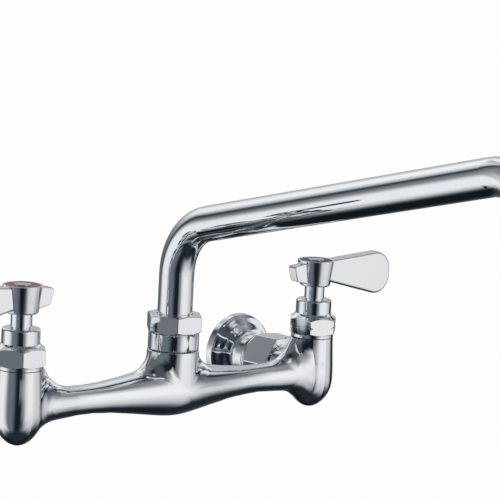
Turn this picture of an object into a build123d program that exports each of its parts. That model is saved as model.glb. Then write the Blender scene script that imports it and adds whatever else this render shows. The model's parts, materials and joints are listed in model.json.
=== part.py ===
"""Commercial wall faucet on 8 inch centres: one cast mixing body, two quarter-turn lever valves
and a swing tube spout.

Millimetres. The origin is midway between the two supply inlets, on the wall's face. +X runs from
the hot inlet to the cold one, +Y points into the wall, so the faucet stands on the -Y side, and
+Z is up. The model is at rest with both levers closed and the spout straight out.
"""

import math
import os

from build123d import *

# ---------------------------------------------------------------- driving dimensions

# Clearances
contact_gap = 0.05  # running fits and faces that slide
thread_gap = 0.1  # between a screw and its nut, both cut straight
free_gap = 0.3  # faces that only pass near each other

# Shares that pick edges, and the length of slots and windows
slot_reach = 3  # radii of the piece, so that a slot passes right through it
face_share = 0.4  # edges past this share of a thickness lie on its faces
root_share = 1.1  # edges past this multiple of a root's distance are outside the hub

# Places
inlet_spacing = 203.2  # between the two supply inlets, 8 inches
valve_standoff = 66.5  # from the wall to the plane of the valves and the spout

# Cast body. The arms are turned about a line along X: (distance from the middle, radius)
arm_outline = [(0, 14.4), (14, 13.0), (28, 10.8), (41, 9.1), (55, 8.0), (66, 8.0), (76, 8.6)]
arm_drop = 0.3  # of that line below the inlets
arm_end_radius = 9.0
arm_end_depth = 7.6  # from the valve's axis to the arm's end, and to the end of its bore
arm_bore_radius = 4.8
boss_radius = 14.2
boss_top = 22.0
boss_blend = 15.0  # into the arms
barrel_top = 20.4
barrel_top_radius = 12.05
# The barrel between its top and its tip, from the top down: (radius, height)
barrel_outline = [(12.6, 9.0), (12.95, -1.0), (11.9, -9.6), (8.4, -15.7), (4.1, -19.2)]
barrel_tip = -20.2
barrel_flare = 0.03  # outward slope of that outline at the top
barrel_blend = 22.0  # into the arms
tail_blend = 7.0  # into the barrels
edge_round = 0.5  # small rounds on machined edges that show
tail_radius = 10.6
tail_growth = 0.4  # from the coupling nut to the valve's axis
tail_neck_radius = 9.3  # spigot inside the coupling nut
tail_bore_radius = 6.0
tail_bore_end = 47.0  # distance from the wall
feed_start = 43.0  # the slanted passage leaves the tail's centre line here
feed_depth = -12.0  # and meets the valve's axis here
feed_bore_radius = 4.5
seat_floor = 0.0
chamber_radius = 9.0

# Wall flange, as distances out from the wall
flange_radius = 22.3
flange_rim = 5.0
flange_neck_radius = 12.5
flange_dish = 8.5  # over which the face sweeps from the rim to the neck
dish_middle_depth = 0.4  # of the dish, where its sweep turns
dish_middle_height = 0.55  # of the way from the neck's radius to the rim's
dish_rim_slope = -2.0
dish_neck_slope = -0.25
flange_neck_end = 20.0
spigot_end = 31.0
spigot_radius = 11.0
pipe_thread_radius = 9.9  # 1/2 inch pipe thread, cut straight at its pitch radius
pipe_thread_depth = 15.0
flange_bore_radius = 6.4

# Coupling nut, its washer and its retaining ring
coupling_flats = 29.0
coupling_collar_radius = 12.9
coupling_collar_length = 2.6
coupling_cone_length = 4.6
coupling_front = 42.0  # distance from the wall
coupling_turn = 9.0  # degrees, where the thread stops
coupling_washer_thickness = 2.0
snap_ring_thickness = 1.5
snap_ring_radius = 10.6
snap_groove_depth = 0.9
snap_ring_offset = 1.6  # from the tail's end to the ring
snap_ring_opening = 34.0  # degrees

# Valve bonnet
bonnet_thread_radius = 10.0
bonnet_thread_length = 6.2
gasket_thickness = 0.4
bonnet_ring_radius = 12.1
bonnet_ring_height = 1.5
bonnet_flats = 25.0
bonnet_hex_height = 10.4
bonnet_crown_radius = 11.3  # the cone over the hexagon starts here
bonnet_neck_height = 1.3
bonnet_bore_relief = 0.8  # thread bore past the end of the thread
collar_radius = 10.07
collar_height = 8.1
collar_round = 1.3
cage_wall = 1.4
cage_window_width = 6.0
cage_window_height = 3.6
cage_lift = 0.8  # from the seat's floor to the foot of the cage
spindle_shoulder_depth = 12.0  # from the collar's top down to the thrust washer's seat
corner_groove_radius = 13.6  # groove that nicks only the corners of the cold hexagon
corner_groove_height = 2.2
corner_groove_drop = 0.6  # of its middle below the hexagon's
hot_hexagon_turn = 1.8
cold_hexagon_turn = 43.7

# Discs and seal
disc_radius = 6.8
disc_thickness = 2.5
port_circle = 3.9
port_width = 2.6
port_sweep = 36.0
seat_seal_height = 2.2
seat_seal_width = 1.4

# Spindle
spindle_radius = 5.6
spindle_stem_radius = 3.2
spindle_flange_radius = 6.6
spindle_flange_height = 2.0
spindle_entry = 1.5  # the spindle's shoulder stands this far inside the hub
spline_radius = 4.2
driver_width = 3.0
driver_depth = 1.0
thrust_washer_thickness = 1.0
oring_section = 0.5
oring_groove_width = 1.3
oring_pitch = 3.6
screw_tap_depth = 8.0

# Lever
hub_gap = 7.6  # clear height between the bonnet's collar and the hub
hub_height = 14.9
hub_foot_radius = 8.55
hub_top_radius = 10.53
hub_foot_round = 1.3
# Outlines are (distance out from the valve's axis, height above the hub's foot)
blade_root_low = (6.0, 2.6)
blade_root_high = (6.0, 14.2)
blade_tip_high = (55.0, 17.8)
blade_tip_low = (55.0, -10.2)
blade_tip_round = 10.3
blade_thickness = 8.0
blade_round = 1.6
stub_outline = [(6.0, 13.8), (17.6, 12.3), (18.1, 10.7), (16.0, 3.5), (6.0, 1.2)]
stub_thickness = 6.2
stub_round = 0.6
index_recess_radius = 9.4
index_recess_depth = 1.6
index_ring_height = 1.3
button_radius = 4.5
button_height = 2.0
button_round = 0.5
screw_radius = 1.95
screw_head_radius = 3.6
screw_head_height = 2.4
screw_slot_width = 0.8
screw_length = 9.0
hub_web = 1.6  # clamped between the screw's head and the spindle

# Spout joint
spout_ring_radius = 13.85
spout_ring_height = 9.4
body_thread_radius = 11.0
body_thread_length = 12.0
body_bore_relief = 1.0
waterway_radius = 8.0
nut_thread_radius = 12.0
nut_thread_length = 4.2
spout_nut_flats = 27.9
spout_nut_height = 10.0
spout_nut_top_radius = 12.9
spout_nut_slope = 18.0  # degrees, of the shallow chamfer on top
spout_nut_turn = 58.4
ferrule_radius = 10.4
ferrule_depth = 10.8  # of its spigot in the spout collar
ferrule_flange_radius = 11.4
ferrule_flange_height = 2.0
ferrule_ring_section = 0.65
ferrule_ring_groove = 1.6
ferrule_ring_pitch = 3.2
spout_washer_thickness = 0.6

# Spout tube
tube_radius = 9.525  # 3/4 inch tube
tube_wall = 1.0
tube_socket = 6.0  # depth of its seat in the ferrule
spout_corner_height = 88.0  # where the centre lines of riser and rising run meet
spout_rise = 14.1  # degrees
spout_reach = 260.0
riser_bend = 32.0
outlet_bend = 25.4
outlet_height = 107.0  # the tube's lower end

# Outlet
outlet_thread_radius = 10.9
outlet_thread_length = 7.0
outlet_shoulder_radius = 11.7
outlet_shoulder = 2.6
outlet_socket = 6.0
outlet_bore_radius = 6.8
aerator_radius = 12.1
aerator_height = 15.0
aerator_round = 1.0
aerator_flat_depth = 0.6
aerator_lip = 1.6
aerator_lip_radius = 9.0
aerator_washer_thickness = 1.5
insert_wall = 1.6
screen_thickness = 0.8
screen_hole_radius = 0.6
screen_pitch = 2.4
screen_half_count = 3  # holes on each side of the middle one

# ---------------------------------------------------------------- places worked out from these

inlet_x = inlet_spacing / 2
valve_y = -valve_standoff

tail_end = spigot_end + coupling_washer_thickness
snap_ring_near = tail_end + snap_ring_offset
snap_ring_far = snap_ring_near + snap_ring_thickness
snap_groove_radius = tail_neck_radius - snap_groove_depth

bonnet_base = barrel_top + gasket_thickness
hexagon_base = bonnet_base + bonnet_ring_height
hexagon_top = hexagon_base + bonnet_hex_height
collar_base = hexagon_top + bonnet_neck_height
collar_top = collar_base + collar_height
bonnet_thread_end = barrel_top - bonnet_thread_length
cage_bore_radius = disc_radius + thread_gap
cage_radius = cage_bore_radius + cage_wall
cage_foot = seat_floor + cage_lift
fixed_disc_base = seat_floor + seat_seal_height
moving_disc_base = fixed_disc_base + disc_thickness + contact_gap
moving_disc_top = moving_disc_base + disc_thickness
window_base = moving_disc_top + free_gap
thrust_seat = collar_top - spindle_shoulder_depth
thrust_base = thrust_seat - thrust_washer_thickness
spindle_flange_top = thrust_base - contact_gap
spindle_flange_base = spindle_flange_top - spindle_flange_height
spindle_bore_radius = spindle_radius + contact_gap
hub_foot = collar_top + hub_gap
hub_top = hub_foot + hub_height
index_seat = hub_top - index_recess_depth
screw_seat = index_seat - screw_head_height - contact_gap
spindle_end = screw_seat - hub_web
spindle_shoulder = hub_foot + spindle_entry
oring_middle = (collar_base + collar_top) / 2

spout_ring_base = boss_top + gasket_thickness
spout_ring_top = spout_ring_base + spout_ring_height
spout_nut_base = spout_ring_top + contact_gap
spout_nut_top = spout_nut_base + spout_nut_height
collar_end = spout_ring_top + nut_thread_length
ferrule_bore_radius = ferrule_radius + contact_gap
ferrule_base = collar_end - ferrule_depth
ferrule_flange_base = collar_end + contact_gap
ferrule_top = ferrule_flange_base + ferrule_flange_height
spout_washer_base = ferrule_top + contact_gap
spout_lip_base = spout_washer_base + spout_washer_thickness
tube_start = ferrule_top - tube_socket
tube_bore_radius = tube_radius - tube_wall

outlet_y = valve_y - spout_reach
outlet_corner_height = spout_corner_height + spout_reach * math.tan(math.radians(spout_rise))
shoulder_base = outlet_height - outlet_shoulder
outlet_thread_end = shoulder_base - outlet_thread_length
aerator_top = shoulder_base - contact_gap
aerator_base = aerator_top - aerator_height
aerator_bore_radius = outlet_thread_radius + thread_gap
lip_top = aerator_base + aerator_lip
insert_top = outlet_thread_end - aerator_washer_thickness
insert_radius = aerator_bore_radius - free_gap

os.makedirs("parts", exist_ok=True)


# ---------------------------------------------------------------- planes, axes and helpers


def upright(x, y=valve_y):
    """Plane for profiles turned about a vertical line: (radius, height)."""
    return Plane(origin=(x, y, 0), x_dir=(0, -1, 0), z_dir=(-1, 0, 0))


def vertical(x, y=valve_y):
    return Axis((x, y, 0), (0, 0, 1))


def level(x, height, turn=0, y=valve_y):
    """Horizontal plane centred on a vertical line and turned about it."""
    return Plane((x, y, height)).rotated((0, 0, turn))


def outward(x):
    """Plane for profiles turned about an inlet's axis: (distance from the wall, radius)."""
    return Plane(origin=(x, 0, 0), x_dir=(0, -1, 0), z_dir=(-1, 0, 0))


def inlet_axis(x):
    return Axis((x, 0, 0), (0, -1, 0))


def facing_wall(x, distance, turn=0):
    """Plane square to an inlet's axis, at a distance from the wall and facing away from it."""
    plane = Plane(origin=(x, -distance, 0), x_dir=(1, 0, 0), z_dir=(0, -1, 0))
    return plane.rotated((0, 0, turn))


def across_flats(flats):
    """Corner radius of a hexagon with this size across its flats."""
    return flats / math.sqrt(3)


def circular_edges(part, radius, height):
    """The full circles of one radius at one height."""
    return [
        edge
        for edge in part.edges().filter_by(GeomType.CIRCLE)
        if abs(edge.radius - radius) < 0.01 and abs(edge.arc_center.Z - height) < 0.01
    ]


def turned_ring(x, inner, outer, low, high, y=valve_y):
    """Plain ring about a vertical line."""
    with BuildPart() as ring:
        with BuildSketch(upright(x, y)):
            with BuildLine():
                Polyline((inner, low), (outer, low), (outer, high), (inner, high), close=True)
            make_face()
        revolve(axis=vertical(x, y))
    return ring.part


def seal_rings(x, radius, section, heights):
    """Round-section seals about a vertical line, centred at the given heights."""
    with BuildPart() as rings:
        with BuildSketch(upright(x)):
            with Locations(*[(radius, height) for height in heights]):
                Circle(section)
        revolve(axis=vertical(x))
    return rings.part


def save(part, name):
    """Label a finished piece and write its STEP file."""
    part.label = name
    export_step(part, f"parts/{name}.step")


# ---------------------------------------------------------------- cast body

arm_end = inlet_x - arm_end_depth
arm_half = [(out, -radius) for out, radius in arm_outline + [(arm_end, arm_end_radius)]]
arm_points = [(-out, low) for out, low in reversed(arm_half[1:])] + arm_half

with BuildPart() as faucet_body:
    # The arms' outline is drawn underneath, which keeps its seam clear of the boss
    with BuildSketch(Plane(origin=(0, valve_y, -arm_drop), x_dir=(1, 0, 0), z_dir=(0, -1, 0))):
        with BuildLine():
            arm_curve = Spline(*arm_points)
            Polyline(arm_curve @ 1, (arm_end, 0), (-arm_end, 0), arm_curve @ 0)
        make_face()
    revolve(axis=Axis((0, valve_y, -arm_drop), (1, 0, 0)))
    # Barrels and boss are drawn tall, blended into the arms and then cut off flat
    for x in (-inlet_x, inlet_x):
        with BuildSketch(upright(x)):
            with BuildLine():
                barrel_curve = Spline(
                    (barrel_top_radius, barrel_top),
                    *barrel_outline,
                    (0, barrel_tip),
                    tangents=((barrel_flare, -1), (-1, 0)),
                )
                Polyline(
                    barrel_curve @ 1,
                    (0, barrel_top + barrel_blend),
                    (barrel_top_radius, barrel_top + barrel_blend),
                    barrel_curve @ 0,
                )
            make_face()
        revolve(axis=vertical(x))
        fillet(faucet_body.edges(Select.NEW), radius=barrel_blend)
    split(bisect_by=level(0, barrel_top), keep=Keep.BOTTOM)
    with BuildSketch(level(0, 0)):
        Circle(boss_radius)
    extrude(amount=boss_top + boss_blend)
    fillet(faucet_body.edges(Select.NEW), radius=boss_blend)
    split(bisect_by=level(0, boss_top), keep=Keep.BOTTOM)
    boss_rim = faucet_body.edges().filter_by_position(Axis.Z, boss_top, boss_top)
    fillet(boss_rim, radius=edge_round)
    for x in (-inlet_x, inlet_x):
        # Tail: from the spigot inside the coupling nut to the barrel
        with BuildSketch(outward(x)):
            with BuildLine():
                Polyline(
                    (tail_end, 0),
                    (tail_end, tail_neck_radius),
                    (coupling_front + free_gap, tail_neck_radius),
                    (coupling_front + free_gap, tail_radius),
                    (valve_standoff, tail_radius + tail_growth),
                    (valve_standoff, 0),
                    close=True,
                )
            make_face()
        revolve(axis=inlet_axis(x))
        fillet(faucet_body.edges(Select.NEW), radius=tail_blend)
    # Waterways: along the arms, up the boss, and in each barrel
    arm_section = Plane(origin=(-arm_end, valve_y, -arm_drop), x_dir=(0, 1, 0), z_dir=(1, 0, 0))
    with BuildSketch(arm_section):
        Circle(arm_bore_radius)
    extrude(amount=2 * arm_end, mode=Mode.SUBTRACT)
    with BuildSketch(upright(0)):
        with BuildLine():
            body_thread_end = boss_top - body_thread_length - body_bore_relief
            Polyline(
                (0, 0),
                (waterway_radius, 0),
                (waterway_radius, body_thread_end),
                (body_thread_radius, body_thread_end),
                (body_thread_radius, boss_top),
                (0, boss_top),
                close=True,
            )
        make_face()
    revolve(axis=vertical(0), mode=Mode.SUBTRACT)
    for x in (-inlet_x, inlet_x):
        with BuildSketch(upright(x)):
            with BuildLine():
                bonnet_bore_end = bonnet_thread_end - bonnet_bore_relief
                Polyline(
                    (0, feed_depth),
                    (feed_bore_radius, feed_depth),
                    (feed_bore_radius, seat_floor),
                    (chamber_radius, seat_floor),
                    (chamber_radius, bonnet_bore_end),
                    (bonnet_thread_radius, bonnet_bore_end),
                    (bonnet_thread_radius, barrel_top),
                    (0, barrel_top),
                    close=True,
                )
            make_face()
        revolve(axis=vertical(x), mode=Mode.SUBTRACT)
        with BuildSketch(facing_wall(x, tail_end)):
            Circle(tail_bore_radius)
        extrude(amount=tail_bore_end - tail_end, mode=Mode.SUBTRACT)
        feed_run = Vector(0, feed_start - valve_standoff, feed_depth)
        with BuildSketch(Plane(origin=(x, -feed_start, 0), x_dir=(1, 0, 0), z_dir=feed_run)):
            Circle(feed_bore_radius)
        extrude(amount=feed_run.length, mode=Mode.SUBTRACT)
        # Groove of the retaining ring
        with BuildSketch(outward(x)):
            with BuildLine():
                groove_near = snap_ring_near - contact_gap
                groove_far = snap_ring_far + contact_gap
                Polyline(
                    (groove_near, snap_groove_radius),
                    (groove_far, snap_groove_radius),
                    (groove_far, tail_neck_radius + free_gap),
                    (groove_near, tail_neck_radius + free_gap),
                    close=True,
                )
            make_face()
        revolve(axis=inlet_axis(x), mode=Mode.SUBTRACT)

save(faucet_body.part, "faucet_body")

# ---------------------------------------------------------------- wall flanges and coupling nuts

coupling_corner = across_flats(coupling_flats)
coupling_chamfer = (coupling_corner - coupling_flats / 2) / math.sqrt(3)
coupling_back = flange_neck_end + free_gap
coupling_lip_back = snap_ring_far + thread_gap
dish_middle = (
    flange_rim + dish_middle_depth * flange_dish,
    flange_neck_radius + dish_middle_height * (flange_radius - flange_neck_radius),
)
dish_end = flange_rim + flange_dish

for side, x in (("hot", -inlet_x), ("cold", inlet_x)):
    with BuildPart() as wall_flange:
        with BuildSketch(outward(x)):
            with BuildLine():
                Spline(
                    (flange_rim, flange_radius - edge_round),
                    dish_middle,
                    (dish_end, flange_neck_radius),
                    tangents=((1, dish_rim_slope), (1, dish_neck_slope)),
                )
                Polyline(
                    (dish_end, flange_neck_radius),
                    (flange_neck_end, flange_neck_radius),
                    (flange_neck_end, spigot_radius - thread_gap),
                    (spigot_end, spigot_radius - thread_gap),
                    (spigot_end, flange_bore_radius),
                    (pipe_thread_depth, flange_bore_radius),
                    (pipe_thread_depth, pipe_thread_radius),
                    (0, pipe_thread_radius),
                    (0, flange_radius),
                    (flange_rim - edge_round, flange_radius),
                    (flange_rim, flange_radius - edge_round),
                )
            make_face()
        revolve(axis=inlet_axis(x))
    save(wall_flange.part, f"{side}_wall_flange")

    with BuildPart() as coupling_nut:
        with BuildSketch(facing_wall(x, coupling_back, coupling_turn)):
            RegularPolygon(radius=coupling_corner, side_count=6)
        extrude(amount=coupling_front - coupling_back)
        with BuildSketch(outward(x)):
            with BuildLine():
                cone_start = coupling_back + coupling_collar_length
                Polyline(
                    (coupling_back, spigot_radius),
                    (coupling_back, coupling_collar_radius),
                    (cone_start, coupling_collar_radius),
                    (cone_start + coupling_cone_length, coupling_corner),
                    (coupling_front - coupling_chamfer, coupling_corner),
                    (coupling_front, coupling_flats / 2),
                    (coupling_front, tail_neck_radius + free_gap),
                    (coupling_lip_back, tail_neck_radius + free_gap),
                    (coupling_lip_back, spigot_radius),
                    close=True,
                )
            make_face()
        revolve(axis=inlet_axis(x), mode=Mode.INTERSECT)
    save(coupling_nut.part, f"{side}_coupling_nut")

    with BuildPart() as coupling_washer:
        with BuildSketch(facing_wall(x, spigot_end)):
            Circle(spigot_radius - free_gap)
            Circle(flange_bore_radius, mode=Mode.SUBTRACT)
        extrude(amount=coupling_washer_thickness)
    save(coupling_washer.part, f"{side}_coupling_washer")

    with BuildPart() as snap_ring:
        with BuildSketch(facing_wall(x, snap_ring_near)):
            Circle(snap_ring_radius)
            Circle(snap_groove_radius + contact_gap, mode=Mode.SUBTRACT)
            with BuildLine():
                half_opening = snap_ring_radius * math.tan(math.radians(snap_ring_opening / 2))
                Polyline(
                    (0, 0),
                    (half_opening, -snap_ring_radius),
                    (-half_opening, -snap_ring_radius),
                    close=True,
                )
            make_face(mode=Mode.SUBTRACT)
        extrude(amount=snap_ring_thickness)
    save(snap_ring.part, f"{side}_snap_ring")

# ---------------------------------------------------------------- valves

bonnet_corner = across_flats(bonnet_flats)
bonnet_flat_edge = bonnet_flats / 2 - edge_round
bonnet_chamfer = (bonnet_corner - bonnet_flat_edge) / math.sqrt(3)
bonnet_crown_drop = (bonnet_corner - bonnet_crown_radius) / math.sqrt(3)
port_arc = CenterArc((0, 0), port_circle, -port_sweep / 2, port_sweep)
oring_heights = [oring_middle - oring_pitch / 2, oring_middle + oring_pitch / 2]
oring_radius = spindle_bore_radius - contact_gap / 2 - oring_section
oring_groove_radius = oring_radius - oring_section - contact_gap / 2

for side, x, hexagon_turn in (
    ("hot", -inlet_x, hot_hexagon_turn),
    ("cold", inlet_x, cold_hexagon_turn),
):
    bonnet_gasket = turned_ring(
        x,
        bonnet_thread_radius + free_gap,
        barrel_top_radius - edge_round,
        barrel_top,
        bonnet_base,
    )
    save(bonnet_gasket, f"{side}_bonnet_gasket")

    with BuildPart() as bonnet:
        with BuildSketch(level(x, hexagon_base, hexagon_turn)):
            RegularPolygon(radius=bonnet_corner, side_count=6)
        extrude(amount=bonnet_hex_height)
        with BuildSketch(upright(x)):
            with BuildLine():
                Polyline(
                    (0, hexagon_base),
                    (bonnet_flat_edge, hexagon_base),
                    (bonnet_corner, hexagon_base + bonnet_chamfer),
                    (bonnet_corner, hexagon_top - bonnet_crown_drop),
                    (bonnet_crown_radius, hexagon_top),
                    (0, hexagon_top),
                    close=True,
                )
            make_face()
        revolve(axis=vertical(x), mode=Mode.INTERSECT)
        if side == "cold":
            # The groove that marks a left-hand valve
            with BuildSketch(upright(x)):
                with BuildLine():
                    groove_middle = hexagon_base + bonnet_hex_height / 2 - corner_groove_drop
                    Polyline(
                        (corner_groove_radius, groove_middle),
                        (bonnet_corner + free_gap, groove_middle + corner_groove_height / 2),
                        (bonnet_corner + free_gap, groove_middle - corner_groove_height / 2),
                        close=True,
                    )
                make_face()
            revolve(axis=vertical(x), mode=Mode.SUBTRACT)
        # Cage, thread, sealing ring, neck and collar
        with BuildSketch(upright(x)):
            with BuildLine():
                Polyline(
                    (0, cage_foot),
                    (cage_radius, cage_foot),
                    (cage_radius, bonnet_thread_end),
                    (bonnet_thread_radius - thread_gap, bonnet_thread_end),
                    (bonnet_thread_radius - thread_gap, bonnet_base),
                    (bonnet_ring_radius, bonnet_base),
                    (bonnet_ring_radius, hexagon_base),
                    (bonnet_crown_radius, hexagon_base),
                    (bonnet_crown_radius, hexagon_top),
                    (collar_radius, collar_base),
                    (collar_radius, collar_top),
                    (0, collar_top),
                    close=True,
                )
            make_face()
        revolve(axis=vertical(x))
        fillet(circular_edges(bonnet, collar_radius, collar_top), radius=collar_round)
        with BuildSketch(upright(x)):
            with BuildLine():
                Polyline(
                    (0, cage_foot),
                    (cage_bore_radius, cage_foot),
                    (cage_bore_radius, thrust_seat),
                    (spindle_bore_radius, thrust_seat),
                    (spindle_bore_radius, collar_top),
                    (0, collar_top),
                    close=True,
                )
            make_face()
        revolve(axis=vertical(x), mode=Mode.SUBTRACT)
        # Two windows let the water out of the cage
        with BuildSketch(level(x, window_base)):
            Rectangle(slot_reach * cage_radius, cage_window_width)
        extrude(amount=cage_window_height, mode=Mode.SUBTRACT)
    save(bonnet.part, f"{side}_bonnet")

    seat_seal = turned_ring(
        x, disc_radius - seat_seal_width, disc_radius, seat_floor, fixed_disc_base
    )
    save(seat_seal, f"{side}_seat_seal")

    # The fixed disc's ports lie along X and the moving one's across it, so the valve is shut
    with BuildPart() as fixed_disc:
        with BuildSketch(level(x, fixed_disc_base)):
            Circle(disc_radius)
            with PolarLocations(0, 2):
                SlotArc(port_arc, port_width, mode=Mode.SUBTRACT)
        extrude(amount=disc_thickness)
    save(fixed_disc.part, f"{side}_fixed_disc")

    with BuildPart() as moving_disc:
        with BuildSketch(level(x, moving_disc_base, turn=90)):
            Circle(disc_radius)
            with PolarLocations(0, 2):
                SlotArc(port_arc, port_width, mode=Mode.SUBTRACT)
        extrude(amount=disc_thickness)
        with BuildSketch(level(x, moving_disc_top)):
            Rectangle(slot_reach * disc_radius, driver_width)
        extrude(amount=-driver_depth, mode=Mode.SUBTRACT)
    save(moving_disc.part, f"{side}_moving_disc")

    # Spindle: driver tongue, stem, thrust flange, sealed shaft and 12-point end
    with BuildPart() as spindle:
        with BuildSketch(upright(x)):
            with BuildLine():
                Polyline(
                    (0, moving_disc_top),
                    (spindle_stem_radius, moving_disc_top),
                    (spindle_stem_radius, spindle_flange_base),
                    (spindle_flange_radius, spindle_flange_base),
                    (spindle_flange_radius, spindle_flange_top),
                    (spindle_radius, spindle_flange_top),
                    (spindle_radius, spindle_shoulder),
                    (0, spindle_shoulder),
                    close=True,
                )
            make_face()
        revolve(axis=vertical(x))
        with BuildSketch(upright(x)):
            with Locations(*[(spindle_radius, height) for height in oring_heights]):
                Rectangle(2 * (spindle_radius - oring_groove_radius), oring_groove_width)
        revolve(axis=vertical(x), mode=Mode.SUBTRACT)
        with BuildSketch(level(x, moving_disc_top)):
            Rectangle(slot_reach * disc_radius, driver_width - 2 * contact_gap)
            Circle(disc_radius - contact_gap, mode=Mode.INTERSECT)
        extrude(amount=-driver_depth)
        with BuildSketch(level(x, spindle_shoulder)):
            RegularPolygon(radius=spline_radius, side_count=6)
            RegularPolygon(radius=spline_radius, side_count=6, rotation=30)
        extrude(amount=spindle_end - spindle_shoulder)
        with BuildSketch(level(x, spindle_end)):
            Circle(screw_radius)
        extrude(amount=-screw_tap_depth, mode=Mode.SUBTRACT)
    save(spindle.part, f"{side}_spindle")

    save(seal_rings(x, oring_radius, oring_section, oring_heights), f"{side}_spindle_orings")

    thrust_washer = turned_ring(
        x, spindle_bore_radius, cage_bore_radius - contact_gap, thrust_base, thrust_seat
    )
    save(thrust_washer, f"{side}_thrust_washer")

# ---------------------------------------------------------------- levers

for side, x, outboard in (("hot", -inlet_x, -1), ("cold", inlet_x, 1)):
    blade_plane = Plane(
        origin=(x, valve_y, hub_foot), x_dir=(outboard, 0, 0), z_dir=(0, -outboard, 0)
    )
    with BuildPart() as lever:
        with BuildSketch(blade_plane):
            with BuildLine():
                Polyline(
                    blade_root_low, blade_root_high, blade_tip_high, blade_tip_low, close=True
                )
            make_face()
            fillet(vertices().group_by(Axis.X)[-1], radius=blade_tip_round)
        extrude(amount=blade_thickness / 2, both=True)
        blade_edges = [
            edge
            for edge in lever.edges()
            if abs(edge.center().Y - valve_y) > face_share * blade_thickness
            and abs(edge.center().X - x) > root_share * blade_root_low[0]
        ]
        fillet(blade_edges, radius=blade_round)
        with BuildSketch(blade_plane):
            with BuildLine():
                Polyline(*[(-out, high) for out, high in stub_outline], close=True)
            make_face()
        extrude(amount=stub_thickness / 2, both=True)
        stub_edges = [
            edge
            for edge in lever.edges()
            if abs(edge.center().Y - valve_y) > face_share * stub_thickness
            and (x - edge.center().X) * outboard > root_share * stub_outline[0][0]
        ]
        fillet(stub_edges, radius=stub_round)
        with BuildSketch(upright(x)):
            with BuildLine():
                Polyline(
                    (0, hub_foot),
                    (hub_foot_radius, hub_foot),
                    (hub_top_radius, hub_top),
                    (0, hub_top),
                    close=True,
                )
            make_face()
        revolve(axis=vertical(x))
        fillet(circular_edges(lever, hub_foot_radius, hub_foot), radius=hub_foot_round)
        # Bore of the spindle's shoulder, and the seats of the screw and the index
        with BuildSketch(upright(x)):
            with BuildLine():
                Polyline(
                    (0, hub_foot),
                    (spindle_radius + contact_gap, hub_foot),
                    (spindle_radius + contact_gap, spindle_shoulder),
                    (0, spindle_shoulder),
                    close=True,
                )
            make_face()
            with BuildLine():
                Polyline(
                    (0, spindle_end),
                    (screw_radius + contact_gap, spindle_end),
                    (screw_radius + contact_gap, screw_seat),
                    (screw_head_radius + contact_gap, screw_seat),
                    (screw_head_radius + contact_gap, index_seat),
                    (index_recess_radius, index_seat),
                    (index_recess_radius, hub_top),
                    (0, hub_top),
                    close=True,
                )
            make_face()
        revolve(axis=vertical(x), mode=Mode.SUBTRACT)
        with BuildSketch(level(x, spindle_shoulder)):
            RegularPolygon(radius=spline_radius + contact_gap, side_count=6)
            RegularPolygon(radius=spline_radius + contact_gap, side_count=6, rotation=30)
        extrude(amount=spindle_end - spindle_shoulder, mode=Mode.SUBTRACT)
    save(lever.part, f"{side}_lever")

    with BuildPart() as handle_screw:
        with BuildSketch(level(x, screw_seat)):
            Circle(screw_head_radius)
        extrude(amount=screw_head_height)
        with BuildSketch(level(x, screw_seat)):
            Circle(screw_radius - contact_gap)
        extrude(amount=-screw_length)
        with BuildSketch(level(x, screw_seat + screw_head_height)):
            Rectangle(slot_reach * screw_head_radius, screw_slot_width)
        extrude(amount=-screw_head_height / 2, mode=Mode.SUBTRACT)
    save(handle_screw.part, f"{side}_handle_screw")

    index_ring = turned_ring(
        x,
        button_radius + contact_gap,
        index_recess_radius - contact_gap,
        index_seat,
        index_seat + index_ring_height,
    )
    save(index_ring, f"{side}_index_ring")

    with BuildPart() as index_button:
        with BuildSketch(level(x, index_seat)):
            Circle(button_radius)
        extrude(amount=button_height)
        button_rim = circular_edges(index_button, button_radius, index_seat + button_height)
        fillet(button_rim, radius=button_round)
    save(index_button.part, f"{side}_index_button")

# ---------------------------------------------------------------- spout joint

spout_gasket = turned_ring(
    0,
    body_thread_radius + free_gap,
    spout_ring_radius - edge_round,
    boss_top,
    spout_ring_base,
)
save(spout_gasket, "spout_gasket")

with BuildPart() as spout_collar:
    with BuildSketch(upright(0)):
        with BuildLine():
            Polyline(
                (waterway_radius, boss_top - body_thread_length),
                (body_thread_radius - thread_gap, boss_top - body_thread_length),
                (body_thread_radius - thread_gap, spout_ring_base),
                (spout_ring_radius, spout_ring_base),
                (spout_ring_radius, spout_ring_top),
                (nut_thread_radius, spout_ring_top),
                (nut_thread_radius, collar_end),
                (ferrule_bore_radius, collar_end),
                (ferrule_bore_radius, ferrule_base - free_gap),
                (waterway_radius, ferrule_base - free_gap),
                close=True,
            )
        make_face()
    revolve(axis=vertical(0))
    ring_rims = circular_edges(spout_collar, spout_ring_radius, spout_ring_base)
    ring_rims += circular_edges(spout_collar, spout_ring_radius, spout_ring_top)
    fillet(ring_rims, radius=edge_round / 2)
save(spout_collar.part, "spout_collar")

spout_nut_corner = across_flats(spout_nut_flats)
spout_nut_drop = (spout_nut_corner - spout_nut_top_radius) * math.tan(math.radians(spout_nut_slope))
spout_nut_chamfer = (spout_nut_corner - spout_nut_flats / 2) / math.sqrt(3)
with BuildPart() as spout_nut:
    with BuildSketch(level(0, spout_nut_base, spout_nut_turn)):
        RegularPolygon(radius=spout_nut_corner, side_count=6)
    extrude(amount=spout_nut_height)
    with BuildSketch(upright(0)):
        with BuildLine():
            Polyline(
                (tube_radius + free_gap, spout_nut_top),
                (spout_nut_top_radius, spout_nut_top),
                (spout_nut_corner, spout_nut_top - spout_nut_drop),
                (spout_nut_corner, spout_nut_base + spout_nut_chamfer),
                (spout_nut_flats / 2, spout_nut_base),
                (nut_thread_radius + thread_gap, spout_nut_base),
                (nut_thread_radius + thread_gap, spout_lip_base),
                (tube_radius + free_gap, spout_lip_base),
                close=True,
            )
        make_face()
    revolve(axis=vertical(0), mode=Mode.INTERSECT)
save(spout_nut.part, "spout_nut")

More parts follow.
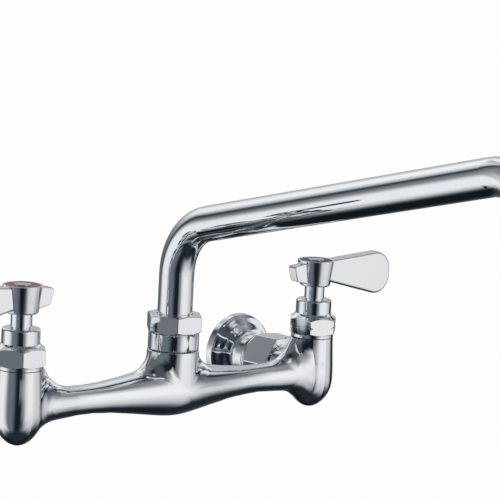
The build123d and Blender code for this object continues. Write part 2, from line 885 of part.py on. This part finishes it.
spout_thrust_washer = turned_ring(
    0, tube_radius + free_gap, ferrule_flange_radius, spout_washer_base, spout_lip_base
)
save(spout_thrust_washer, "spout_thrust_washer")

ferrule_ring_middle = (ferrule_base + tube_start) / 2
ferrule_ring_heights = [
    ferrule_ring_middle - ferrule_ring_pitch / 2,
    ferrule_ring_middle + ferrule_ring_pitch / 2,
]
ferrule_ring_radius = ferrule_bore_radius - contact_gap / 2 - ferrule_ring_section
ferrule_groove_radius = ferrule_ring_radius - ferrule_ring_section - contact_gap / 2
with BuildPart() as spout_ferrule:
    with BuildSketch(upright(0)):
        with BuildLine():
            Polyline(
                (waterway_radius, ferrule_base),
                (ferrule_radius, ferrule_base),
                (ferrule_radius, ferrule_flange_base),
                (ferrule_flange_radius, ferrule_flange_base),
                (ferrule_flange_radius, ferrule_top),
                (tube_radius + contact_gap, ferrule_top),
                (tube_radius + contact_gap, tube_start),
                (waterway_radius, tube_start),
                close=True,
            )
        make_face()
        with Locations(*[(ferrule_radius, height) for height in ferrule_ring_heights]):
            Rectangle(
                2 * (ferrule_radius - ferrule_groove_radius),
                ferrule_ring_groove,
                mode=Mode.SUBTRACT,
            )
    revolve(axis=vertical(0))
save(spout_ferrule.part, "spout_ferrule")

save(
    seal_rings(0, ferrule_ring_radius, ferrule_ring_section, ferrule_ring_heights),
    "spout_orings",
)

# ---------------------------------------------------------------- spout tube and outlet

with BuildPart() as spout_tube:
    with BuildLine(upright(0)) as route:
        FilletPolyline(
            (0, tube_start),
            (0, spout_corner_height),
            (spout_reach, outlet_corner_height),
            (spout_reach, outlet_height),
            radius=[riser_bend, outlet_bend],
        )
    with BuildSketch(level(0, tube_start)):
        Circle(tube_radius)
        Circle(tube_bore_radius, mode=Mode.SUBTRACT)
    sweep(path=route.wire())
save(spout_tube.part, "spout_tube")

with BuildPart() as outlet_bushing:
    with BuildSketch(upright(0, outlet_y)):
        with BuildLine():
            Polyline(
                (outlet_bore_radius, outlet_thread_end),
                (outlet_thread_radius, outlet_thread_end),
                (outlet_thread_radius, shoulder_base),
                (outlet_shoulder_radius, shoulder_base),
                (outlet_shoulder_radius, outlet_height),
                (tube_bore_radius - contact_gap, outlet_height),
                (tube_bore_radius - contact_gap, outlet_height + outlet_socket),
                (outlet_bore_radius, outlet_height + outlet_socket),
                close=True,
            )
        make_face()
    revolve(axis=vertical(0, outlet_y))
    shoulder_rim = circular_edges(outlet_bushing, outlet_shoulder_radius, outlet_height)
    fillet(shoulder_rim, radius=edge_round)
save(outlet_bushing.part, "outlet_bushing")

with BuildPart() as aerator_housing:
    with BuildSketch(upright(0, outlet_y)):
        with BuildLine():
            Polyline(
                (aerator_lip_radius, aerator_base),
                (aerator_radius, aerator_base),
                (aerator_radius, aerator_top),
                (aerator_bore_radius, aerator_top),
                (aerator_bore_radius, lip_top),
                (aerator_lip_radius, lip_top),
                close=True,
            )
        make_face()
    revolve(axis=vertical(0, outlet_y))
    housing_rim = circular_edges(aerator_housing, aerator_radius, aerator_base)
    fillet(housing_rim, radius=aerator_round)
    # Two flats for a wrench
    with BuildSketch(level(0, aerator_base, y=outlet_y)):
        with Locations((0, aerator_radius), (0, -aerator_radius)):
            Rectangle(2 * aerator_radius, 2 * aerator_flat_depth)
    extrude(amount=aerator_height / 2, mode=Mode.SUBTRACT)
save(aerator_housing.part, "aerator_housing")

aerator_washer = turned_ring(
    0, outlet_bore_radius, insert_radius, insert_top, outlet_thread_end, y=outlet_y
)
save(aerator_washer, "aerator_washer")

screen_steps = [
    step * screen_pitch for step in range(-screen_half_count, screen_half_count + 1)
]
screen_holes = [
    (a, b)
    for a in screen_steps
    for b in screen_steps
    if math.hypot(a, b) < insert_radius - insert_wall - screen_pitch / 2
]
with BuildPart() as aerator_insert:
    with BuildSketch(upright(0, outlet_y)):
        with BuildLine():
            Polyline(
                (0, lip_top),
                (insert_radius, lip_top),
                (insert_radius, insert_top),
                (insert_radius - insert_wall, insert_top),
                (insert_radius - insert_wall, lip_top + screen_thickness),
                (0, lip_top + screen_thickness),
                close=True,
            )
        make_face()
    revolve(axis=vertical(0, outlet_y))
    with BuildSketch(level(0, lip_top, y=outlet_y)):
        with Locations(*screen_holes):
            Circle(screen_hole_radius)
    extrude(amount=screen_thickness, mode=Mode.SUBTRACT)
save(aerator_insert.part, "aerator_insert")
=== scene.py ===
"""Looks of a commercial wall faucet: chrome cast body, two lever valves and a swing spout."""

import json
import math

import bmesh
import bpy
from mathutils import Matrix, Vector


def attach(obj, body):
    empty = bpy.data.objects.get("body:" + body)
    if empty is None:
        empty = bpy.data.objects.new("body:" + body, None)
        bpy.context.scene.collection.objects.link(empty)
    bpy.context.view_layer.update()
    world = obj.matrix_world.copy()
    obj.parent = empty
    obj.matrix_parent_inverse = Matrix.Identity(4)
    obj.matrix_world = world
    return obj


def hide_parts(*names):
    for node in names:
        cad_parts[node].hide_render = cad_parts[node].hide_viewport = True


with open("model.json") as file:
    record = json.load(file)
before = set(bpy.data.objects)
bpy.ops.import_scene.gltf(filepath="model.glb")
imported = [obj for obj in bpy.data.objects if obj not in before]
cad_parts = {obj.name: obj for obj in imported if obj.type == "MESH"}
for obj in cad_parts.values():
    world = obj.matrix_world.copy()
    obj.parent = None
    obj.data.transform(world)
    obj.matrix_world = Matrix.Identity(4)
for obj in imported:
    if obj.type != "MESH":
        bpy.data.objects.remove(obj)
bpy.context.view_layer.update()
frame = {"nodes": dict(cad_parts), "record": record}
nodes = frame["nodes"]
record = frame["record"]

# ------------------------------------------------------------------ camera

CAMERA_PLACE = Vector((-0.83143, -1.0828, 0.2815))
CAMERA_AZIMUTH = 0.7153
CAMERA_DIP = 0.1536
CAMERA_ROLL = 0.0528
LENS = 177.22
FILM_WIDTH = 36
NEAREST = 0.01
FARTHEST = 50


def camera_turn(azimuth, dip, roll):
    """Rotation of a camera that looks along +Y turned to the right, down and about its own line."""
    ahead = Vector(
        (
            math.sin(azimuth) * math.cos(dip),
            math.cos(azimuth) * math.cos(dip),
            -math.sin(dip),
        )
    )
    side = Vector((math.cos(azimuth), -math.sin(azimuth), 0))
    top = side.cross(ahead)
    right = side * math.cos(roll) + top * math.sin(roll)
    up = top * math.cos(roll) - side * math.sin(roll)
    return Matrix((right, up, -ahead)).transposed()


camera = bpy.data.objects.new("camera", bpy.data.cameras.new("camera"))
bpy.context.scene.collection.objects.link(camera)
camera.data.lens = LENS
camera.data.sensor_width = FILM_WIDTH
camera.data.clip_start = NEAREST
camera.data.clip_end = FARTHEST
camera.matrix_world = Matrix.Translation(CAMERA_PLACE) @ camera_turn(
    CAMERA_AZIMUTH, CAMERA_DIP, CAMERA_ROLL
).to_4x4()
bpy.context.scene.camera = camera

# ------------------------------------------------------------------ materials

POLISH_SCALE, POLISH_DETAIL = 90, 3
RIPPLE_DETAIL = 1
MOTTLE_DETAIL = 5
MOTTLE_LOW, MOTTLE_HIGH = 0.3, 0.7
SHINE = 0.5


def new_material(name):
    made = bpy.data.materials.new(name)
    made.use_nodes = True
    tree = made.node_tree
    shader = tree.nodes["Principled BSDF"]
    place = tree.nodes.new("ShaderNodeTexCoord").outputs["Object"]
    return made, tree, shader, place


def noise_node(tree, place, scale, detail):
    """A noise over the piece's own coordinates."""
    noise = tree.nodes.new("ShaderNodeTexNoise")
    noise.inputs["Scale"].default_value = scale
    noise.inputs["Detail"].default_value = detail
    tree.links.new(place, noise.inputs["Vector"])
    return noise.outputs["Fac"]


def ramp_node(tree, level, *stops):
    """Colours laid along a level; each stop is a place on it and a colour."""
    ramp = tree.nodes.new("ShaderNodeValToRGB")
    ends = ramp.color_ramp.elements
    for end, (position, colour) in zip((ends[0], ends[1]), (stops[0], stops[-1])):
        end.color = (*colour, 1)
        end.position = position
    for position, colour in stops[1:-1]:
        ends.new(position).color = (*colour, 1)
    tree.links.new(level, ramp.inputs["Fac"])
    return ramp.outputs["Color"]


def uneven_polish(tree, shader, level, low, high):
    """Roughness that follows a noise between two values."""
    rough = tree.nodes.new("ShaderNodeMapRange")
    rough.inputs["To Min"].default_value = low
    rough.inputs["To Max"].default_value = high
    tree.links.new(level, rough.inputs["Value"])
    tree.links.new(rough.outputs["Result"], shader.inputs["Roughness"])


def chrome(name, tint, rough_low, rough_high, stretch, wave, depth):
    """Mirror plate: faint waviness in the metal under it, and a little uneven polish."""
    made, tree, shader, place = new_material(name)
    shader.inputs["Base Color"].default_value = (*tint, 1)
    shader.inputs["Metallic"].default_value = 1
    lay = tree.nodes.new("ShaderNodeMapping")
    lay.inputs["Scale"].default_value = stretch
    tree.links.new(place, lay.inputs["Vector"])
    place = lay.outputs["Vector"]
    polish = noise_node(tree, place, POLISH_SCALE, POLISH_DETAIL)
    uneven_polish(tree, shader, polish, rough_low, rough_high)
    bump = tree.nodes.new("ShaderNodeBump")
    bump.inputs["Distance"].default_value = depth
    bump.inputs["Strength"].default_value = 1
    tree.links.new(noise_node(tree, place, wave, RIPPLE_DETAIL), bump.inputs["Height"])
    tree.links.new(bump.outputs["Normal"], shader.inputs["Normal"])
    return made


def mottled(name, low, high, scale, rough_low, rough_high, metallic=0.0, shine=SHINE):
    """Two close colours and two degrees of gloss, mixed by a fine noise."""
    made, tree, shader, place = new_material(name)
    shader.inputs["Specular IOR Level"].default_value = shine
    shader.inputs["Metallic"].default_value = metallic
    noise = noise_node(tree, place, scale, MOTTLE_DETAIL)
    colour = ramp_node(tree, noise, (MOTTLE_LOW, low), (MOTTLE_HIGH, high))
    tree.links.new(colour, shader.inputs["Base Color"])
    uneven_polish(tree, shader, noise, rough_low, rough_high)
    return made


CHROME_TINT = (0.845, 0.875, 0.905)
BUTTON_TINT = (0.62, 0.64, 0.66)
EVEN = (1, 1, 1)
LATHED = (1, 1, 12)
finishes = {
    # chrome: tint, roughness from and to, stretch, ripples a metre, their depth
    "cast": chrome("chrome_cast", CHROME_TINT, 0.03, 0.06, EVEN, 60, 0.00002),
    "turned": chrome("chrome_turned", CHROME_TINT, 0.02, 0.05, LATHED, 80, 0.000004),
    "tube": chrome("chrome_tube", CHROME_TINT, 0.02, 0.05, EVEN, 40, 0.000006),
    # mottled: dark and light colour, spots a metre, roughness from and to
    "brass": mottled("brass", (0.70, 0.53, 0.25), (0.80, 0.63, 0.33), 300, 0.25, 0.4, 1.0),
    "rubber": mottled("rubber", (0.015, 0.015, 0.016), (0.04, 0.04, 0.042), 400, 0.5, 0.7),
    "ceramic": mottled("ceramic", (0.85, 0.84, 0.80), (0.92, 0.91, 0.88), 500, 0.15, 0.3),
    "white_plastic": mottled(
        "white_plastic", (0.82, 0.82, 0.80), (0.90, 0.90, 0.88), 300, 0.35, 0.5
    ),
    "steel": mottled("steel", (0.55, 0.56, 0.58), (0.66, 0.67, 0.69), 300, 0.2, 0.35, 1.0),
    "red_index": mottled(
        "red_index", (0.10, 0.02, 0.022), (0.27, 0.10, 0.10), 420, 0.15, 0.3, shine=0.08
    ),
    "blue_index": mottled(
        "blue_index", (0.006, 0.015, 0.045), (0.035, 0.06, 0.14), 420, 0.15, 0.3, shine=0.03
    ),
    "button": chrome("chrome_button", BUTTON_TINT, 0.1, 0.3, EVEN, 420, 0.0001),
}

CAST = ("faucet_body", "wall_flange", "lever")
slots = {part["node"]: part["material_slot"] for part in record["subparts"]}
for name, node in nodes.items():
    finish = slots[name]
    if finish == "chrome":
        if name == "spout_tube":
            finish = "tube"
        elif name.endswith("index_button"):
            finish = "button"
        else:
            finish = "cast" if name.endswith(CAST) else "turned"
    node.data.materials.clear()
    node.data.materials.append(finishes[finish])

# ------------------------------------------------------------------ broken edges

SHARP = math.radians(28)
FLAT = math.radians(0.4)
SAME_PLACE = 1e-6
EDGE_STEPS = 3
EVENNESS = 60


def merged_copy(name, new_name):
    """A node's mesh as one joined skin, with the triangles of its flat faces put together."""
    form = bmesh.new()
    form.from_mesh(nodes[name].data)
    bmesh.ops.remove_doubles(form, verts=form.verts, dist=SAME_PLACE)
    bmesh.ops.dissolve_limit(form, angle_limit=FLAT, verts=form.verts, edges=form.edges)
    for face in form.faces:
        face.smooth = True
    for edge in form.edges:
        edge.smooth = True
    mesh = bpy.data.meshes.new(new_name)
    form.to_mesh(mesh)
    form.free()
    normals = mesh.attributes.get("custom_normal")
    if normals:
        mesh.attributes.remove(normals)
    return mesh


def softened(name, width, clamp):
    """Stand in for a node with a copy whose sharp edges are broken as a polished piece's are."""
    mesh = merged_copy(name, name + "_softened")
    piece = bpy.data.objects.new(name + "_softened", mesh)
    bpy.context.scene.collection.objects.link(piece)
    edges = piece.modifiers.new("broken_edges", "BEVEL")
    edges.width = width
    edges.segments = EDGE_STEPS
    edges.limit_method = "ANGLE"
    edges.angle_limit = SHARP
    edges.use_clamp_overlap = clamp
    edges.miter_outer = "MITER_ARC"
    even = piece.modifiers.new("even_shading", "WEIGHTED_NORMAL")
    even.keep_sharp = False
    even.weight = EVENNESS
    mesh.materials.append(nodes[name].data.materials[0])
    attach(piece, body_of[name])
    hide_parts(name)


body_of = {node: body for body, held in record["behaviour"]["bodies"].items() for node in held}
# Clamped where narrow lands or small nicks would fold over at the full width.
for name, width, clamp in (
    ("spout_nut", 0.00045, False),
    ("spout_collar", 0.0003, False),
    ("aerator_housing", 0.0003, True),
    ("outlet_bushing", 0.0003, True),
):
    softened(name, width, clamp)
for side in ("hot", "cold"):
    for piece, width, clamp in (
        ("bonnet", 0.00045, True),
        ("lever", 0.0004, False),
        ("coupling_nut", 0.0004, False),
        ("wall_flange", 0.0004, False),
        ("index_button", 0.0002, False),
        ("index_ring", 0.0002, False),
    ):
        softened(f"{side}_{piece}", width, clamp)

# ------------------------------------------------------------------ room

WHITE = (1, 1, 1)
BACKGROUND_LIGHT = 1.0
ROOM_LIGHT = 0.8

world = bpy.data.worlds.new("studio")
bpy.context.scene.world = world
world.use_nodes = True
sky = world.node_tree
wires = sky.links


def sum_node(kind, *values):
    """A Math node; each value is a number or another node's output."""
    node = sky.nodes.new("ShaderNodeMath")
    node.operation = kind
    for socket, value in zip(node.inputs, values):
        if isinstance(value, (int, float)):
            socket.default_value = value
        else:
            wires.new(value, socket)
    return node.outputs[0]


def choice_node(ray, otherwise, chosen):
    """One light for the rays of a kind, another for the rest; each a number or an output."""
    node = sky.nodes.new("ShaderNodeMix")
    node.data_type = "FLOAT"
    wires.new(rays.outputs[ray], node.inputs[0])
    for socket, value in ((node.inputs[2], otherwise), (node.inputs[3], chosen)):
        if isinstance(value, (int, float)):
            socket.default_value = value
        else:
            wires.new(value, socket)
    return node.outputs[0]


direction = sky.nodes.new("ShaderNodeTexCoord")
parts = sky.nodes.new("ShaderNodeSeparateXYZ")
wires.new(direction.outputs["Generated"], parts.inputs[0])
around = sum_node("ARCTAN2", parts.outputs["X"], parts.outputs["Y"])
height = sum_node("ARCSINE", parts.outputs["Z"])


def card(behind, azimuth, elevation, half_width, half_height, edge, light, lean):
    """Hang a soft-edged card in front of what is there; angles in degrees, +Y is azimuth 0."""
    tall = sum_node("SUBTRACT", height, math.radians(elevation))
    wide = sum_node("SUBTRACT", around, math.radians(azimuth))
    wide = sum_node("WRAP", wide, math.pi, -math.pi)
    wide = sum_node("SUBTRACT", wide, sum_node("MULTIPLY", tall, lean))
    beyond = []
    for span, half in ((wide, half_width), (tall, half_height)):
        beyond.append(sum_node("SUBTRACT", sum_node("ABSOLUTE", span), math.radians(half)))
    outside = sum_node("MAXIMUM", *beyond)
    fade = sky.nodes.new("ShaderNodeMapRange")
    fade.interpolation_type = "SMOOTHSTEP"
    fade.inputs["From Min"].default_value = math.radians(edge)
    fade.inputs["From Max"].default_value = math.radians(-edge)
    wires.new(outside, fade.inputs["Value"])
    cover = fade.outputs["Result"]
    kept = sum_node("MULTIPLY", behind, sum_node("SUBTRACT", 1.0, cover))
    return sum_node("ADD", kept, sum_node("MULTIPLY", cover, light))


# What the plate mirrors: each card hangs in front of the ones before it.
BARE_ROOM = 0.14
CARDS = (
    # azimuth, elevation, half width, half height, edge, light, lean
    ("ceiling", 4, 90, 399, 34, 8, 0.155, -0.79),
    ("ceiling_strip", 160, 59, 47, 4, 3, 0.749, 0.0069),
    ("left_wall", -100, -14, 36, 40, 14, 0.168, -0.026),
    ("left_window", -56, -13, 28, 32, 15, 0.913, -0.0066),
    ("back_grey", -33, 33, 18, 31, 10, 0.333, -0.025),
    ("back_window", 15, 41, 31, 28, 18, 0.985, -0.092),
    ("arm_window", 48, 33, 20, 30, 10, 0.509, 0.21),
    ("back_line", -29, 20, 9, 41, 10, 0.137, -0.21),
    ("back_edge", -26, 20, 4, 41, 3, 0.0627, -0.06),
    ("front_window", -174, 1, 17, 19, 8, 0.989, -0.021),
    ("front_soft", -176, 0, 14, 48, 12, 0.145, 0.018),
    ("right_window", 143, -13, 44, 31, 18, 0.683, 0.36),
    ("right_glow", 153, 9, 21, 25, 16, 0.973, -0.041),
    ("side_window", 86, 19, 21, 26, 7, 0.857, 0.3),
    ("floor_dark", -9, -90, 399, 36, 10, 0.0254, -0.31),
    ("table", 46, -52, 72, 21, 15, 0.0141, 0.32),
    ("table_side", 86, -41, 26, 16, 13, 0.0227, 0.16),
    ("side_line", 107, 27, 6, 24, 5, 0.023, -0.055),
    ("front_card", -148, 5, 20, 69, 13, 0.016, -0.14),
    ("front_bar", -173, 2, 17, 6, 5, 0.939, -0.58),
    ("side_flag", 80, -15, 12, 21, 6, 0.00633, 0.83),
    ("right_flag", 113, 13, 8, 11, 10, 0.15, -0.028),
    ("high_glow", 113, 62, 22, 20, 13, 0.283, 0.79),
    ("right_bar", 159, 42, 8, 25, 8, 0.341, -1.1),
    ("back_dim", 0, 48, 11, 11, 4, 0.563, -0.89),
    ("floor_glow", 60, -36, 5, 4, 17, 0.091, 0.44),
    ("right_shine", 142, -17, 6, 6, 6, 0.837, -0.7),
    ("back_shine", -28, -13, 8, 3, 3, 0.679, -1.2),
    ("high_flag", 100, 66, 44, 13, 7, 0.041, 0.011),
    ("far_edge", 42, -10, 11, 4, 3, 0.155, -0.26),
    ("under_flag", -29, -44, 5, 5, 3, 0.00833, -0.95),
    ("arm_glow", 63, 53, 16, 9, 20, 0.989, 1.4),
    ("front_flag", -159, 38, 28, 15, 10, 0.0858, 0.36),
    ("high_soft", 103, 50, 32, 6, 15, 0.362, 0.91),
)
shown = BARE_ROOM
for _, *sizes in CARDS:
    shown = card(shown, *sizes)

rays = sky.nodes.new("ShaderNodeLightPath")
lit = choice_node("Is Glossy Ray", ROOM_LIGHT, shown)
seen = choice_node("Is Camera Ray", lit, BACKGROUND_LIGHT)
# The darker a card, the cooler it is, so white stays white.
cool = ramp_node(
    sky,
    seen,
    (0.0, (0.0, 0.12, 0.3)),
    (0.02, (0.78, 1, 1.25)),
    (0.2, (0.93, 1, 1.07)),
    (0.7, WHITE),
)
backdrop = sky.nodes["Background"]
wires.new(cool, backdrop.inputs["Color"])
wires.new(seen, backdrop.inputs["Strength"])

# ------------------------------------------------------------------ floor

FLOOR_DROP = -0.42
FLOOR_REACH = 24
FLOOR_PARTS = 4
PAPER_GRAIN, PAPER_DETAIL = 30, 2
PAPER_ROUGH = 0.9
PAPER_LOW, PAPER_HIGH = (0.93, 0.93, 0.93), (0.96, 0.96, 0.96)
# How far the floor goes over to plain white for the camera; the rest keeps the shadow.
PAPER_WHITE = 0.93

floor_mesh = bpy.data.meshes.new("floor")
sheet = bmesh.new()
bmesh.ops.create_grid(sheet, x_segments=FLOOR_PARTS, y_segments=FLOOR_PARTS, size=FLOOR_REACH)
bmesh.ops.translate(sheet, verts=sheet.verts, vec=(0, 0, FLOOR_DROP))
sheet.to_mesh(floor_mesh)
sheet.free()
floor = bpy.data.objects.new("floor", floor_mesh)
bpy.context.scene.collection.objects.link(floor)
floor.visible_glossy = False
paper, tree, shader, place = new_material("floor_paper")
grain = noise_node(tree, place, PAPER_GRAIN, PAPER_DETAIL)
tone = ramp_node(tree, grain, (0.0, PAPER_LOW), (1.0, PAPER_HIGH))
tree.links.new(tone, shader.inputs["Base Color"])
shader.inputs["Roughness"].default_value = PAPER_ROUGH
glow = tree.nodes.new("ShaderNodeEmission")
glow.inputs["Color"].default_value = (*WHITE, 1)
path = tree.nodes.new("ShaderNodeLightPath")
mixed = tree.nodes.new("ShaderNodeMixShader")
share = tree.nodes.new("ShaderNodeMath")
share.operation = "MULTIPLY"
share.inputs[1].default_value = PAPER_WHITE
tree.links.new(path.outputs["Is Camera Ray"], share.inputs[0])
tree.links.new(share.outputs[0], mixed.inputs[0])
tree.links.new(shader.outputs[0], mixed.inputs[1])
tree.links.new(glow.outputs[0], mixed.inputs[2])
tree.links.new(mixed.outputs[0], tree.nodes["Material Output"].inputs["Surface"])
floor_mesh.materials.append(paper)

# ------------------------------------------------------------------ lamps

FAUCET_MIDDLE = Vector((0, -0.15, 0))


def softbox(name, place, size, power):
    """A square area lamp that lights the object and the floor but isn't mirrored in the plate."""
    lamp = bpy.data.lights.new(name, "AREA")
    lamp.size = size
    lamp.energy = power
    holder = bpy.data.objects.new(name, lamp)
    holder.location = place
    holder.rotation_euler = (FAUCET_MIDDLE - Vector(place)).to_track_quat("-Z", "Y").to_euler()
    holder.visible_glossy = False
    bpy.context.scene.collection.objects.link(holder)


softbox("key", (0.5, -1.6, 1.5), 1.2, 9)
softbox("fill", (-1.6, -0.8, 0.9), 1.4, 5)

bpy.context.scene.view_settings.view_transform = "Standard"
